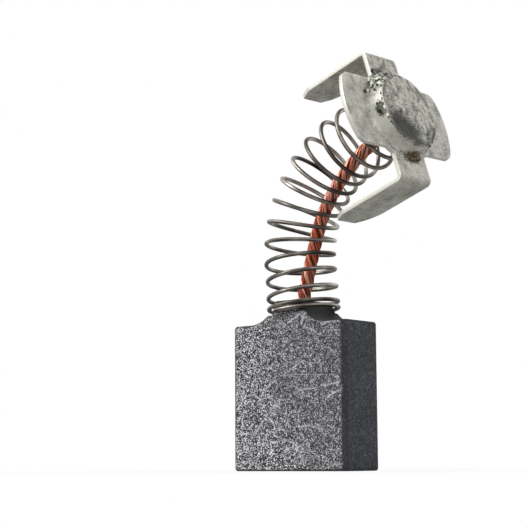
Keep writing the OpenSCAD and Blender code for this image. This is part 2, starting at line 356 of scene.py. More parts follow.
def pressed_carbon():
    """Carbon graphite, pressed, then ground on its two broad faces and sawn on its narrow ones.

    The ground faces are mid grey with black pores, bright flakes, rub marks and hair-thin scratches.
    The sawn faces are smooth, flecked and nearly black. The bevels are painted a little darker and the faces
    that turn upward, the neck's flanks and the shoulders, are painted darkest, both as painted shade.
    """
    material, tree = new_material("pressed_carbon")
    place = add(tree, "ShaderNodeTexCoord")
    mm = add(tree, "ShaderNodeVectorMath", {0: place.outputs["Object"], 1: (1 / MM,) * 3},
             operation="MULTIPLY")
    grain = add(tree, "ShaderNodeTexNoise", {"Vector": mm, "Scale": 1 / 0.15, "Detail": 1.5,
                                             "Roughness": 0.65})
    clumps = add(tree, "ShaderNodeTexNoise", {"Vector": mm, "Scale": 1 / 0.5, "Detail": 2.0})
    cloud = add(tree, "ShaderNodeTexNoise", {"Vector": mm, "Scale": 1 / 4.0, "Detail": 2.0})
    mixed = add(tree, "ShaderNodeMix", {0: 0.25, 2: grain, 3: clumps})
    # Low down and on the left of the front the grain gets more contrast: the flakes paler and the pores black
    flake_contrast = add(tree, "ShaderNodeAttribute", attribute_name="flake_contrast")
    contrast = add(tree, "ShaderNodeMapRange", {"Value": flake_contrast.outputs["Fac"], "To Min": 2.0, "To Max": 6.4})
    centred = add(tree, "ShaderNodeMath", {0: mixed, 1: 0.5}, operation="SUBTRACT")
    spread = add(tree, "ShaderNodeMath", {0: centred, 1: contrast, 2: 0.5}, operation="MULTIPLY_ADD")
    ground = add(tree, "ShaderNodeValToRGB", {0: spread}, stops=[
        (0.22, "#070708"), (0.38, "#2a292c"), (0.5, "#565559"), (0.62, "#88878c"), (0.84, "#f4f3f7")])
    sawn = add(tree, "ShaderNodeValToRGB", {0: spread}, stops=[
        (0.2, "#0e0f11"), (0.45, "#34363b"), (0.6, "#43464c"), (0.85, "#777a81")])
    # Sawing pulls out a few soft clumps and leaves dark flecks
    fleck_place = add(tree, "ShaderNodeMapping", {"Vector": mm, "Scale": (1, 1, 0.6)})
    fleck = add(tree, "ShaderNodeTexNoise", {"Vector": fleck_place, "Scale": 1 / 0.7, "Detail": 2.0})
    pulled = add(tree, "ShaderNodeMapRange", {"Value": fleck, "From Min": 0.34, "From Max": 0.4,
                                              "To Min": 0.7, "To Max": 0.0})
    flecked = add(tree, "ShaderNodeMix", {0: pulled, 6: sawn, 7: "#1d1f22"}, data_type="RGBA")
    shade = add(tree, "ShaderNodeMapRange", {"Value": cloud, "From Min": 0.35, "From Max": 0.65,
                                             "To Min": 0.78, "To Max": 1.06})
    # Which way the surface faces decides its finish, and where painted shade darkens it
    facing = add(tree, "ShaderNodeSeparateXYZ", {0: place.outputs["Normal"]})
    broad = add(tree, "ShaderNodeMath", {0: facing.outputs["Y"]}, operation="ABSOLUTE")
    mask = add(tree, "ShaderNodeMapRange", {"Value": broad, "From Min": 0.82, "From Max": 0.96})
    # Painted shade: the slanted bevels between the broad and the narrow faces are darkened
    across = add(tree, "ShaderNodeMath", {0: facing.outputs["X"], 1: facing.outputs["Y"]},
                 operation="MULTIPLY")
    slanted = add(tree, "ShaderNodeMath", {0: across}, operation="ABSOLUTE")
    bevel_shade_mask = add(tree, "ShaderNodeMapRange", {"Value": slanted, "From Min": 0.3, "From Max": 0.45,
                                             "To Max": 0.5})
    edges = add(tree, "ShaderNodeMix", {0: bevel_shade_mask, 6: flecked, 7: "#2a2a2e"}, data_type="RGBA")
    # Painted shade: faces that turn upward, the neck's flanks and the shoulders under the coils, are made
    # nearly black
    upward_shade_mask = add(tree, "ShaderNodeMapRange", {"Value": facing.outputs["Z"], "From Min": 0.15, "From Max": 0.3,
                                              "To Max": 0.9})
    upward_shaded = add(tree, "ShaderNodeMix", {0: upward_shade_mask, 6: edges, 7: "#101012"}, data_type="RGBA")
    body = add(tree, "ShaderNodeMix", {0: mask, 6: upward_shaded, 7: ground}, data_type="RGBA")
    clouded = add(tree, "ShaderNodeVectorMath", {0: body, 3: shade}, operation="SCALE")
    # Rub marks, broken up by the grain
    scratch = add(tree, "ShaderNodeAttribute", attribute_name="scratch")
    broken = add(tree, "ShaderNodeMapRange", {"Value": grain, "From Min": 0.35, "From Max": 0.55})
    shown = add(tree, "ShaderNodeMath", {0: scratch.outputs["Fac"], 1: broken}, operation="MULTIPLY")
    # Hair-thin scratches on the ground faces, nearly straight, that come and go
    sway = add(tree, "ShaderNodeTexNoise", {"Vector": mm, "Scale": 1 / 6.0, "Detail": 0.0})
    swayed = add(tree, "ShaderNodeMix", {0: 0.05, 4: mm, 5: sway.outputs["Color"]}, data_type="VECTOR")
    for k, turn in enumerate((0.2, 1.15, 2.2)):
        heading = add(tree, "ShaderNodeMapping", {"Vector": swayed, "Rotation": (0, turn, 0),
                                                  "Scale": (0.3, 1, 1), "Location": (0, 7.0 * k, 0)})
        net = add(tree, "ShaderNodeTexVoronoi", {"Vector": heading, "Scale": 1 / 2.4},
                  feature="DISTANCE_TO_EDGE")
        hair = add(tree, "ShaderNodeMapRange", {"Value": net, "From Max": 0.022, "To Min": 1.0,
                                                "To Max": 0.0})
        stretches = add(tree, "ShaderNodeTexNoise", {"Vector": heading, "Scale": 1 / 1.3, "Detail": 1.0})
        passing = add(tree, "ShaderNodeMapRange", {"Value": stretches, "From Min": 0.54, "From Max": 0.66,
                                                   "To Max": 0.6})
        seen = add(tree, "ShaderNodeMath", {0: hair, 1: passing}, operation="MULTIPLY")
        ground_only = add(tree, "ShaderNodeMath", {0: seen, 1: mask}, operation="MULTIPLY")
        shown = add(tree, "ShaderNodeMath", {0: shown, 1: ground_only}, operation="MAXIMUM")
    scratched = add(tree, "ShaderNodeMix", {0: shown, 6: clouded, 7: "#dcdbdf"}, data_type="RGBA")
    worn = add(tree, "ShaderNodeAttribute", attribute_name="worn")
    edge = add(tree, "ShaderNodeMath", {0: worn.outputs["Fac"], 1: 0.5}, operation="MULTIPLY")
    colour = add(tree, "ShaderNodeMix", {0: edge, 6: scratched, 7: "#54565a"}, data_type="RGBA")
    bump = add(tree, "ShaderNodeBump", {"Height": mixed, "Strength": 0.45, "Distance": 0.1 * MM})
    rough = add(tree, "ShaderNodeMapRange", {"Value": grain, "To Min": 0.5, "To Max": 0.8})
    shader = add(tree, "ShaderNodeBsdfPrincipled", {"Base Color": colour, "Normal": bump, "Roughness": rough,
                                                    "Specular IOR Level": 0.35})
    add(tree, "ShaderNodeOutputMaterial", {"Surface": shader})
    return material


def tamped_carbon():
    """Carbon powder rammed round the shunt: matt and nearly black."""
    material, tree = new_material("tamped_carbon")
    place = add(tree, "ShaderNodeTexCoord")
    grain = add(tree, "ShaderNodeTexNoise", {"Vector": place.outputs["Object"], "Scale": 1 / (0.15 * MM),
                                             "Detail": 3.0})
    colour = add(tree, "ShaderNodeValToRGB", {0: grain}, stops=[(0.4, "#1c1c1f"), (0.6, "#3c3d40")])
    bump = add(tree, "ShaderNodeBump", {"Height": grain, "Strength": 0.8, "Distance": 0.1 * MM})
    shader = add(tree, "ShaderNodeBsdfPrincipled", {"Base Color": colour, "Normal": bump, "Roughness": 0.85})
    add(tree, "ShaderNodeOutputMaterial", {"Surface": shader})
    return material


def drawn_steel():
    """Oil-tempered spring wire: brownish grey, half bright, faintly streaked along by the drawing die."""
    material, tree = new_material("drawn_steel")
    grain = add(tree, "ShaderNodeAttribute", attribute_name="wire")
    streak_place = add(tree, "ShaderNodeMapping", {"Vector": grain.outputs["Vector"], "Scale": (1, 1, 0.05)})
    streaks = add(tree, "ShaderNodeTexNoise", {"Vector": streak_place, "Scale": 1 / 0.35, "Detail": 1.0})
    blotch_place = add(tree, "ShaderNodeMapping", {"Vector": grain.outputs["Vector"], "Scale": (1, 1, 0.35)})
    blotches = add(tree, "ShaderNodeTexNoise", {"Vector": blotch_place, "Scale": 1 / 0.9, "Detail": 3.0})
    both = add(tree, "ShaderNodeMix", {0: 0.5, 2: streaks, 3: blotches})
    colour = add(tree, "ShaderNodeValToRGB", {0: both}, stops=[
        (0.36, "#3a3633"), (0.46, "#66615c"), (0.54, "#908a83"), (0.64, "#d8d0c8")])
    rough = add(tree, "ShaderNodeMapRange", {"Value": streaks, "To Min": 0.3, "To Max": 0.5})
    bump = add(tree, "ShaderNodeBump", {"Height": streaks, "Strength": 0.15, "Distance": 0.02 * MM})
    shader = add(tree, "ShaderNodeBsdfPrincipled", {"Base Color": colour, "Roughness": rough,
                                                    "Metallic": 1.0, "Normal": bump})
    add(tree, "ShaderNodeOutputMaterial", {"Surface": shader})
    return material


def bare_copper():
    """Fine bare copper wire, dulled: salmon to orange where it is open, with painted shade in dark red
    between the bundles.
    """
    material, tree = new_material("bare_copper")
    tone = add(tree, "ShaderNodeAttribute", attribute_name="tone")
    grain = add(tree, "ShaderNodeAttribute", attribute_name="wire")
    stretched = add(tree, "ShaderNodeMapping", {"Vector": grain.outputs["Vector"], "Scale": (1, 1, 0.3)})
    dull = add(tree, "ShaderNodeTexNoise", {"Vector": stretched, "Scale": 1 / 0.5, "Detail": 2.0})
    mixed = add(tree, "ShaderNodeMix", {0: 0.45, 2: tone.outputs["Fac"], 3: dull})
    open_colour = add(tree, "ShaderNodeValToRGB", {0: mixed}, stops=[
        (0.22, "#9a402d"), (0.38, "#d07159"), (0.52, "#f2a08c"), (0.66, "#fcc6b9"), (0.78, "#dc9158")])
    # Painted shade: wires lying deep between the bundles are darkened towards dark red
    groove_shade = add(tree, "ShaderNodeAttribute", attribute_name="groove_shade")
    colour = add(tree, "ShaderNodeMix", {0: groove_shade.outputs["Fac"], 6: open_colour, 7: "#2e0e09"},
                 data_type="RGBA")
    rough = add(tree, "ShaderNodeMapRange", {"Value": dull, "To Min": 0.32, "To Max": 0.55})
    shader = add(tree, "ShaderNodeBsdfPrincipled", {"Base Color": colour, "Roughness": rough,
                                                    "Metallic": 1.0})
    add(tree, "ShaderNodeOutputMaterial", {"Surface": shader})
    return material


def tinned_sheet():
    """Stamped brass sheet, hot tinned: pale grey, cloudy and speckled, with paler sheared edges, partly a
    painted highlight.

    The attributes say where it is tarnished, which also cracks it and brings more specks, and where it is
    cut, paler and partly a painted highlight, rubbed bright or given painted highlights, sooty or given
    painted shade, or varnished with flux.
    """
    material, tree = new_material("tinned_sheet")
    sheet = add(tree, "ShaderNodeAttribute", attribute_name="sheet")
    place = sheet.outputs["Vector"]
    cloud = add(tree, "ShaderNodeTexNoise", {"Vector": place, "Scale": 1 / 1.8, "Detail": 4.0,
                                             "Roughness": 0.6})
    speck = add(tree, "ShaderNodeTexNoise", {"Vector": place, "Scale": 1 / 0.3, "Detail": 3.0,
                                             "Roughness": 0.65})
    rolled = add(tree, "ShaderNodeMapping", {"Vector": place, "Scale": (0.6, 1, 1)})
    smear = add(tree, "ShaderNodeTexNoise", {"Vector": rolled, "Scale": 1 / 1.2, "Detail": 5.0,
                                             "Roughness": 0.6, "Distortion": 0.5})
    tin = add(tree, "ShaderNodeValToRGB", {0: cloud}, stops=[
        (0.34, "#a3a399"), (0.5, "#cbcbc1"), (0.66, "#e4e4dc")])
    # Tarnish: olive, brown and pinkish clouds, with the fine cracks and specks of old tin
    dull = add(tree, "ShaderNodeValToRGB", {0: smear}, stops=[
        (0.34, "#3a3b33"), (0.43, "#82837b"), (0.5, "#b7b3a9"), (0.58, "#ddd7cc"), (0.66, "#989c93")])
    tarnish = add(tree, "ShaderNodeAttribute", attribute_name="tarnish").outputs["Fac"]
    dulled = add(tree, "ShaderNodeMix", {0: tarnish, 6: tin, 7: dull}, data_type="RGBA")
    bent = add(tree, "ShaderNodeMix", {0: 0.35, 4: place, 5: smear.outputs["Color"]}, data_type="VECTOR")
    cells = add(tree, "ShaderNodeTexVoronoi", {"Vector": bent, "Scale": 1 / 0.6}, feature="DISTANCE_TO_EDGE")
    crack = add(tree, "ShaderNodeMapRange", {"Value": cells, "From Max": 0.07, "To Min": 0.4, "To Max": 0.0})
    cracked = add(tree, "ShaderNodeMath", {0: crack, 1: tarnish}, operation="MULTIPLY")
    dark = add(tree, "ShaderNodeMapRange", {"Value": speck, "From Min": 0.54, "From Max": 0.65})
    dirty = add(tree, "ShaderNodeMapRange", {"Value": tarnish, "To Min": 0.4, "To Max": 0.85})
    specks = add(tree, "ShaderNodeMath", {0: dark, 1: dirty}, operation="MULTIPLY")
    marked = add(tree, "ShaderNodeMath", {0: specks, 1: cracked}, operation="MAXIMUM")
    colour = add(tree, "ShaderNodeMix", {0: marked, 6: dulled, 7: "#565750"}, data_type="RGBA")
    # Lines left by the rolling mill along the arms, and finer scratches across the wings
    for turn, stretch, code, share in (
            (0.0, (0.06, 1, 1), "#7f7a74", 0.35), (1.1, (1, 0.08, 1), "#e6e6e0", 0.4)):
        turned = add(tree, "ShaderNodeMapping", {"Vector": place, "Rotation": (0, 0, turn), "Scale": stretch})
        lines = add(tree, "ShaderNodeTexNoise", {"Vector": turned, "Scale": 1 / 0.5, "Detail": 2.0})
        line = add(tree, "ShaderNodeMath", {0: lines, 1: 0.5, 2: 0.012}, operation="COMPARE")
        part = add(tree, "ShaderNodeMath", {0: line, 1: share}, operation="MULTIPLY")
        colour = add(tree, "ShaderNodeMix", {0: part, 6: colour, 7: code}, data_type="RGBA")
    rough = add(tree, "ShaderNodeMapRange", {"Value": cloud, "To Min": 0.38, "To Max": 0.62})
    metal = 0.3
    # Every stain, painted highlight and painted shade is broken up by the same ragged mixture of specks and
    # smears
    ragged = add(tree, "ShaderNodeMix", {0: 0.55, 2: speck, 3: smear})
    centred = add(tree, "ShaderNodeMath", {0: ragged, 1: 0.5}, operation="SUBTRACT")
    torn = add(tree, "ShaderNodeMath", {0: centred, 1: 3.0}, operation="MULTIPLY")
    # The marks: edge wear with painted highlights, sheared edges paler partly as a painted highlight, soot
    # with painted shade, and flux
    for stain, code, shine, is_metal, most in (
            ("glint_and_edge_wear", "#e6e5dc", 0.3, 0.5, 1.0), ("cut", "#dddbd1", 0.4, 0.4, 1.0),
            ("soot_and_shade", "#2a2823", 0.6, 0.0, 0.92), ("flux", "#4c3a16", 0.25, 0.0, 1.0)):
        where = add(tree, "ShaderNodeAttribute", attribute_name=stain).outputs["Fac"]
        reach = add(tree, "ShaderNodeMath", {0: where, 1: 9.0}, operation="MULTIPLY", use_clamp=True)
        broken = add(tree, "ShaderNodeMath", {0: torn, 1: reach, 2: where}, operation="MULTIPLY_ADD")
        cover = add(tree, "ShaderNodeMapRange", {"Value": broken, "From Min": 0.25, "From Max": 0.75,
                                                 "To Max": most})
        colour = add(tree, "ShaderNodeMix", {0: cover, 6: colour, 7: code}, data_type="RGBA")
        rough = add(tree, "ShaderNodeMix", {0: cover, 2: rough, 3: shine})
        metal = add(tree, "ShaderNodeMix", {0: cover, 2: metal, 3: is_metal})
    bump = add(tree, "ShaderNodeBump", {"Height": ragged, "Strength": 0.35, "Distance": 0.08 * MM})
    shader = add(tree, "ShaderNodeBsdfPrincipled", {"Base Color": colour, "Roughness": rough,
                                                    "Metallic": metal, "Normal": bump})
    add(tree, "ShaderNodeOutputMaterial", {"Surface": shader})
    return material


def frosted_solder():
    """Soft solder that set slowly: silvery, frosted and a little lumpy."""
    material, tree = new_material("frosted_solder")
    place = add(tree, "ShaderNodeTexCoord")
    frost = add(tree, "ShaderNodeTexNoise", {"Vector": place.outputs["Object"], "Scale": 1 / (0.4 * MM),
                                             "Detail": 3.0})
    colour = add(tree, "ShaderNodeValToRGB", {0: frost}, stops=[(0.35, "#8b897f"), (0.6, "#c9c8c0")])
    rough = add(tree, "ShaderNodeMapRange", {"Value": frost, "To Min": 0.25, "To Max": 0.5})
    shader = add(tree, "ShaderNodeBsdfPrincipled", {"Base Color": colour, "Roughness": rough,
                                                    "Metallic": 1.0})
    add(tree, "ShaderNodeOutputMaterial", {"Surface": shader})
    return material


def burnt_flux():
    """Solder and rosin flux that boiled over and set: white and olive crust, black where it charred.

    The attributes burnt and resin say where it is charred, and where it is clear brown resin.
    """
    material, tree = new_material("burnt_flux")
    place = add(tree, "ShaderNodeTexCoord")
    lumps = add(tree, "ShaderNodeTexNoise", {"Vector": place.outputs["Object"], "Scale": 1 / (0.45 * MM),
                                             "Detail": 3.0})
    crust = add(tree, "ShaderNodeValToRGB", {0: lumps}, stops=[
        (0.4, "#30342a"), (0.47, "#6f7160"), (0.54, "#cfcfc0"), (0.64, "#f0f0e6")])
    charred = add(tree, "ShaderNodeValToRGB", {0: lumps}, stops=[
        (0.42, "#1f1f1b"), (0.55, "#4b4c42"), (0.68, "#8f9083")])
    burnt = add(tree, "ShaderNodeAttribute", attribute_name="burnt")
    resin = add(tree, "ShaderNodeAttribute", attribute_name="resin")
    dark = add(tree, "ShaderNodeMix", {0: burnt.outputs["Fac"], 6: crust, 7: charred}, data_type="RGBA")
    colour = add(tree, "ShaderNodeMix", {0: resin.outputs["Fac"], 6: dark, 7: "#4c3a16"}, data_type="RGBA")
    bump = add(tree, "ShaderNodeBump", {"Height": lumps, "Strength": 0.4, "Distance": 0.1 * MM})
    shader = add(tree, "ShaderNodeBsdfPrincipled", {"Base Color": colour, "Normal": bump, "Roughness": 0.3})
    add(tree, "ShaderNodeOutputMaterial", {"Surface": shader})
    return material


# ---- The block

def rub_marks(random):
    """Search tree of points along rub marks on the two broad faces, and the strength at each."""
    points, strengths = [], []
    for side in (-1, 1):
        for k in range(RUB_MARKS):
            x = random.uniform(-0.5, 0.5) * BLOCK_W
            z = random.uniform(0, 1) * BLOCK_H
            heading = random.choice(RUB_HEADINGS) + random.uniform(-0.35, 0.35)
            curl = random.uniform(-0.12, 0.12)
            strength = random.uniform(0.1, 1.0) ** 2
            for step in range(random.randint(6, 44)):
                points.append(Vector((x, side * BLOCK_T / 2, z)))
                strengths.append(strength)
                x += RUB_STEP * math.cos(heading)
                z += RUB_STEP * math.sin(heading)
                heading += curl * 0.3
    return search_tree(points), strengths


def block_body():
    """The block with the fine unevenness of pressed carbon and small chips along its edges."""
    block = copy_of_node("carbon_block", "block_body")
    edges = sharp_edges(block, angle=25)
    corners = sharp_edges(block, angle=60)
    applied(block, "REMESH", mode="VOXEL", voxel_size=BLOCK_CELL)
    marks, strengths = rub_marks(Random(3))
    worn, scratch, flake_contrast = [], [], []
    for v in block.data.vertices:
        worn.append(fading(edges.find(v.co)[2], EDGE_WEAR))
        k, distance = marks.find(v.co)[1:]
        scratch.append(min(1.0, strengths[k] * 1.8 * fading(distance, RUB_REACH)))
        # The grain's contrast is raised most on the front, low down and on the left, and a little on the back
        low = eased((9.5 - v.co.z) / 10) * eased((5 - v.co.x) / 12)
        low = max(low, 0.35 * eased((1 - v.co.x) / 8))
        flake_contrast.append(low if v.co.y < 0 else 0.3 * low)
    give_floats(block, "worn", worn)
    give_floats(block, "scratch", scratch)
    give_floats(block, "flake_contrast", flake_contrast)

    def chipped(p, normal):
        close = fading(corners.find(p)[2], CHIP_REACH)
        chip = max(0.0, noise.noise(p * 1.1) - 0.22) + max(0.0, noise.noise(p * 3.1) - 0.3) * 0.5
        dent = 0.008 * noise.noise(p * 2.0) + 0.008
        return -normal * (close ** 2 * (0.2 * chip + 0.1) + dent)

    moved(block, chipped)
    finished(block, pressed_carbon(), smooth=60)
    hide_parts("carbon_block")
    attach(block, "block")


# ---- Wires: the spring and the shunt

def wires(name, lines, sides):
    """One mesh of round wires. A line is ([(centre, away, radius, shade), ...], tone).

    away points square off the wire, and the attribute "wire" unrolls each wire: two across it, one along.
    Its tone shifts it, so that no two wires look alike, and its shade darkens it as painted shade where it
    lies deep.
    """
    points, faces, unrolled, tones, groove_shades = [], [], [], [], []
    for line, tone in lines:
        first = len(points)
        run = 0.0
        for k, (centre, away, radius, groove_shade) in enumerate(line):
            ahead = line[min(k + 1, len(line) - 1)][0] - line[max(k - 1, 0)][0]
            along = ahead.normalized()
            run += (centre - line[max(k - 1, 0)][0]).length
            out = (away - away.dot(along) * along).normalized()
            side = along.cross(out)
            for i in range(sides):
                b = 2 * math.pi * i / sides
                points.append(centre + radius * (math.cos(b) * out + math.sin(b) * side))
                unrolled.append((radius * math.cos(b) + 7 * tone, radius * math.sin(b), run))
                tones.append(tone)
                groove_shades.append(groove_shade)
        for k in range(len(line) - 1):
            for i in range(sides):
                a, b = first + k * sides + i, first + k * sides + (i + 1) % sides
                faces.append((a, b, b + sides, a + sides))
        faces.append(tuple(first + i for i in reversed(range(sides))))
        faces.append(tuple(len(points) - sides + i for i in range(sides)))
    piece = new_piece(name, points, faces=faces)
    give_vectors(piece, "wire", unrolled)
    give_floats(piece, "tone", tones)
    give_floats(piece, "groove_shade", groove_shades)
    return piece


def spring_wire():
    """The spring: closed and stretched over the neck, opening up the bend, closed again in the cap."""
    route = two_runs(SPRING_FOOT, SPRING_BEND_R, (CAP_REACH, CAP_RISE, CAP_TILT), SPRING_PAST_CAP)
    open_turns = TURNS - 2 * END_TURNS - RAMP_TURNS
    growth = PITCH_GROWTH * open_turns ** 2 / 2
    open_pitch = (route_length(route) - CLOSED_PITCH * TURNS - growth) / open_turns

    def faded(n):
        if n < END_TURNS:
            return 0
        if n < END_TURNS + RAMP_TURNS:
            return (n - END_TURNS) ** 2 / (2 * RAMP_TURNS)
        return n - END_TURNS - RAMP_TURNS / 2

    def wire_at(n):
        opened = faded(n) - faded(n - TURNS + 2 * END_TURNS + RAMP_TURNS)
        travel = CLOSED_PITCH * n + open_pitch * opened + PITCH_GROWTH * opened ** 2 / 2
        x, z, slope = walk(route, travel, SPRING_FOOT)
        lean = math.radians(slope)
        a = math.radians(START_ANGLE + 360 * n)
        r = COIL_R + GRIP_STRETCH * (1 - eased((n - GRIP_TURNS) / RAMP_TURNS))
        away = Vector((math.cos(a) * math.cos(lean), math.sin(a), -math.cos(a) * math.sin(lean)))
        return Vector((x, 0, z)) + r * away, away

    steps = round(TURNS * STEPS_PER_TURN)
    line = [(*wire_at(TURNS * k / steps), WIRE_D / 2, 0.0) for k in range(steps + 1)]
    # The shears leave a small bevel on each cut end
    for end, step in ((0, 1), (-1, -1)):
        centre, away, radius, groove_shade = line[end]
        beyond = centre + (centre - line[end + step][0]).normalized() * WIRE_NIP_L
        line.insert(0 if end == 0 else len(line), (beyond, away, radius * WIRE_NIP, groove_shade))
    spring = wires("spring_wire", [(line, 0.0)], sides=14)
    finished(spring, drawn_steel(), place=BEND_PLANE)
    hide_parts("spring")
    return spring


def shunt_wires():
    """The shunt: bundles of fine wires, each bundle laid left-handed round the next."""
    random = Random(5)
    start = (0.0, NECK_TOP - SHUNT_BURIED, 0.0)
    foot = [(SHUNT_BURIED, 0), (SHUNT_FOOT_R * math.radians(SHUNT_LEAN), SHUNT_LEAN)]
    route = foot + two_runs(walk(foot, route_length(foot), start), SHUNT_BEND_R,
                            (CAP_REACH, CAP_RISE, SHUNT_ENTRY), SHUNT_PAST_CAP)
    drawn_from = SHUNT_BURIED - SHUNT_DRAWN_BURIED
    bundle_out = SHUNT_D / 2 - BUNDLE_R
    far = Vector((0, 1, 0))
    lines = []
    for bundle in range(SHUNT_BUNDLES):
        for strand in range(BUNDLE_WIRES):
            tone = random.random()
            wander = random.uniform(0, 10)
            line = []
            for k in range(SHUNT_STEPS + 1):
                s = drawn_from + (route_length(route) - drawn_from) * k / SHUNT_STEPS
                x, z, slope = walk(route, s, start)
                lean = math.radians(slope)
                across = Vector((math.cos(lean), 0, -math.sin(lean)))
                a = 2 * math.pi * (bundle / SHUNT_BUNDLES - s / SHUNT_LAY)
                b = a + 2 * math.pi * (strand / BUNDLE_WIRES - s / BUNDLE_LAY)
                wobble = 0.05 * noise.noise(Vector((wander, s * 0.55, strand)))
                r = BUNDLE_R - COPPER_R + wobble
                offset = bundle_out * (math.cos(a) * across + math.sin(a) * far)
                offset += r * (math.cos(b) * across + math.sin(b) * far)
                # How deep the wire lies between the bundles, which sets how far it is painted dark there as
                # shade
                reach = offset.length / (SHUNT_D / 2 - COPPER_R)
                groove_shade = min(1.0, max(0.0, (0.97 - reach) * 3.4))
                line.append((Vector((x, 0, z)) + offset, offset, COPPER_R, groove_shade))
            lines.append((line, tone))
    shunt = wires("shunt_wires", lines, sides=6)
    finished(shunt, bare_copper(), smooth=60, place=BEND_PLANE)
    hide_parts("braid")
    return shunt


# ---- The terminal

def arc(centre, r, first, last, steps):
    """Points along an arc, from one angle in degrees to another."""
    angles = [math.radians(first + (last - first) * k / steps) for k in range(steps + 1)]
    return [(centre[0] + r * math.cos(a), centre[1] + r * math.sin(a)) for a in angles]


def blank_outline():
    """Outline of the flat blank, before its arms are folded, anticlockwise."""
    half = PRONG_W / 2
    tip = PRONG_SPAN / 2 - FOLD_R + FOLD_R * math.pi / 2 + PRONG_L - FOLD_R
    sweep_w, sweep_l = TIP_SWEEP
    sweep_r = (sweep_w ** 2 + sweep_l ** 2) / (2 * sweep_w)
    sweep_turn = math.degrees(math.asin(sweep_l / sweep_r))
    side = WING_W / 2
    corner = side - WING_CORNER
    wing_top = math.sqrt(WING_R ** 2 - side ** 2)
    root = math.degrees(math.asin(half / DISC_R))
    wing_root = math.degrees(math.acos(side / DISC_R))
    wing_turn = math.degrees(math.acos(corner / WING_R))
    sweep = arc((tip - sweep_l, half - sweep_r), sweep_r, 90 - sweep_turn, 90, 12)
    right_arm = [(tip - TIP_CUT[1], -half), (tip, TIP_CUT[0] - half)] + sweep
    left_arm = [(-x, y) for x, y in reversed(right_arm)]
    notch = arc((0, 0), DISC_R, root, wing_root, 4)
    notch_back = [(-x, y) for x, y in reversed(notch)]
    far_wing = [(side, wing_top - WING_CORNER)] + arc((0, 0), WING_R, wing_turn, 180 - wing_turn, 24)
    far_wing += [(-side, wing_top - WING_CORNER)]
    near_wing = [(-x, -y) for x, y in far_wing]
    return (right_arm + notch + far_wing + notch_back + left_arm
            + [(-x, -y) for x, y in notch] + near_wing + [(-x, -y) for x, y in notch_back])


def cap_profile():
    """Half section of the cap's outside, from its foot to its centre, as (radius, height)."""
    ball_r = (CAP_TOP_R ** 2 + CAP_CROWN ** 2) / (2 * CAP_CROWN)
    top = CAP_SHOULDER + CAP_CROWN
    lean = math.atan2(CAP_FOOT_R - CAP_TOP_R, CAP_SHOULDER)
    rim = (CAP_TOP_R - CAP_SHOULDER_R, CAP_SHOULDER - CAP_SHOULDER_R)
    shoulder = arc(rim, CAP_SHOULDER_R, math.degrees(lean), 80, 5)
    foot = [(CAP_FOOT_R, 0.0), (CAP_FOOT_R - 0.2, 0.04), (CAP_FOOT_R - 0.3, 0.15)]
    wall = [tuple(Vector(foot[-1]).lerp(Vector(shoulder[0]), k / 7)) for k in range(1, 7)]
    crown = []
    for k in range(1, 30):
        r = shoulder[-1][0] * (1 - k / 30)
        crown.append((r, top - ball_r + math.sqrt(ball_r ** 2 - r ** 2) - CROWN_DROP))
    return foot + wall + shoulder + crown + [(0.0, top - CROWN_DROP)]


def folded(p):
    """Where a point of the flat blank's front lies once the arm is folded back."""
    side = 1 if p.x > 0 else -1
    past = abs(p.x) - FOLD_START
    if past <= 0:
        return p
    turn = min(past / FOLD_R, math.pi / 2)
    drop = max(0.0, past - FOLD_R * math.pi / 2)
    return Vector((side * (FOLD_START + FOLD_R * math.sin(turn)), p.y, FOLD_R * (math.cos(turn) - 1) - drop))


def polar(p):
    """Angle round the cap in degrees, from the lower arm towards the far wing, and radius."""
    return math.degrees(math.atan2(p.y, p.x)) % 360, math.hypot(p.x, p.y)


def near_angle(angle, middle, spread):
    """1 at an angle and 0 beyond a spread on both sides of it."""
    off = abs((angle - middle + 180) % 360 - 180)
    return eased(1 - off / spread)


def ring(r, middle, width):
    """1 on a circle about the cap's axis, fading away on both sides of it."""
    return math.exp(-((r - middle) / width) ** 2)


def worn_cap(p):
    """The cap's skin: a dented face inside a rim that stands up, and a wall pressed a little uneven."""
    angle, r = polar(p)
    on_face = eased((p.z - 1.35) / 0.3)
    dents = 0.08 * noise.noise(Vector((p.x * 0.5, p.y * 0.5, 3.1))) + 0.03 * noise.noise(p * 1.4)
    moat = -0.1 * ring(r, 3.9, 0.3)
    ridge = 0.05 * near_angle(angle, 255, 90) * ring(r, 4.42, 0.16)
    hollow = -0.13 * near_angle(angle, 325, 50) * ring(r, 3.4, 1.0)
    lift = on_face * (min(0.0, dents) * 1.3 + moat + ridge + hollow)
    on_wall = (1 - on_face) * eased(p.z / 0.4)
    wall = on_wall * (0.08 * noise.noise(Vector((angle / 22, p.z * 0.7, 8.0))) - 0.03)
    out = Vector((p.x, p.y, 0)) / max(r, 0.01)
    return p + Vector((0, 0, lift)) + out * wall


def is_cut(p, normal):
    """Whether a face of the sheet belongs to its sheared edge."""
    if p.z < -FOLD_R:
        return abs(normal.x) < 0.6
    if abs(p.x) > FOLD_START:
        return abs(normal.y) > 0.6
    return abs(normal.z) < 0.6 and polar(p)[1] > DISC_R - 0.15


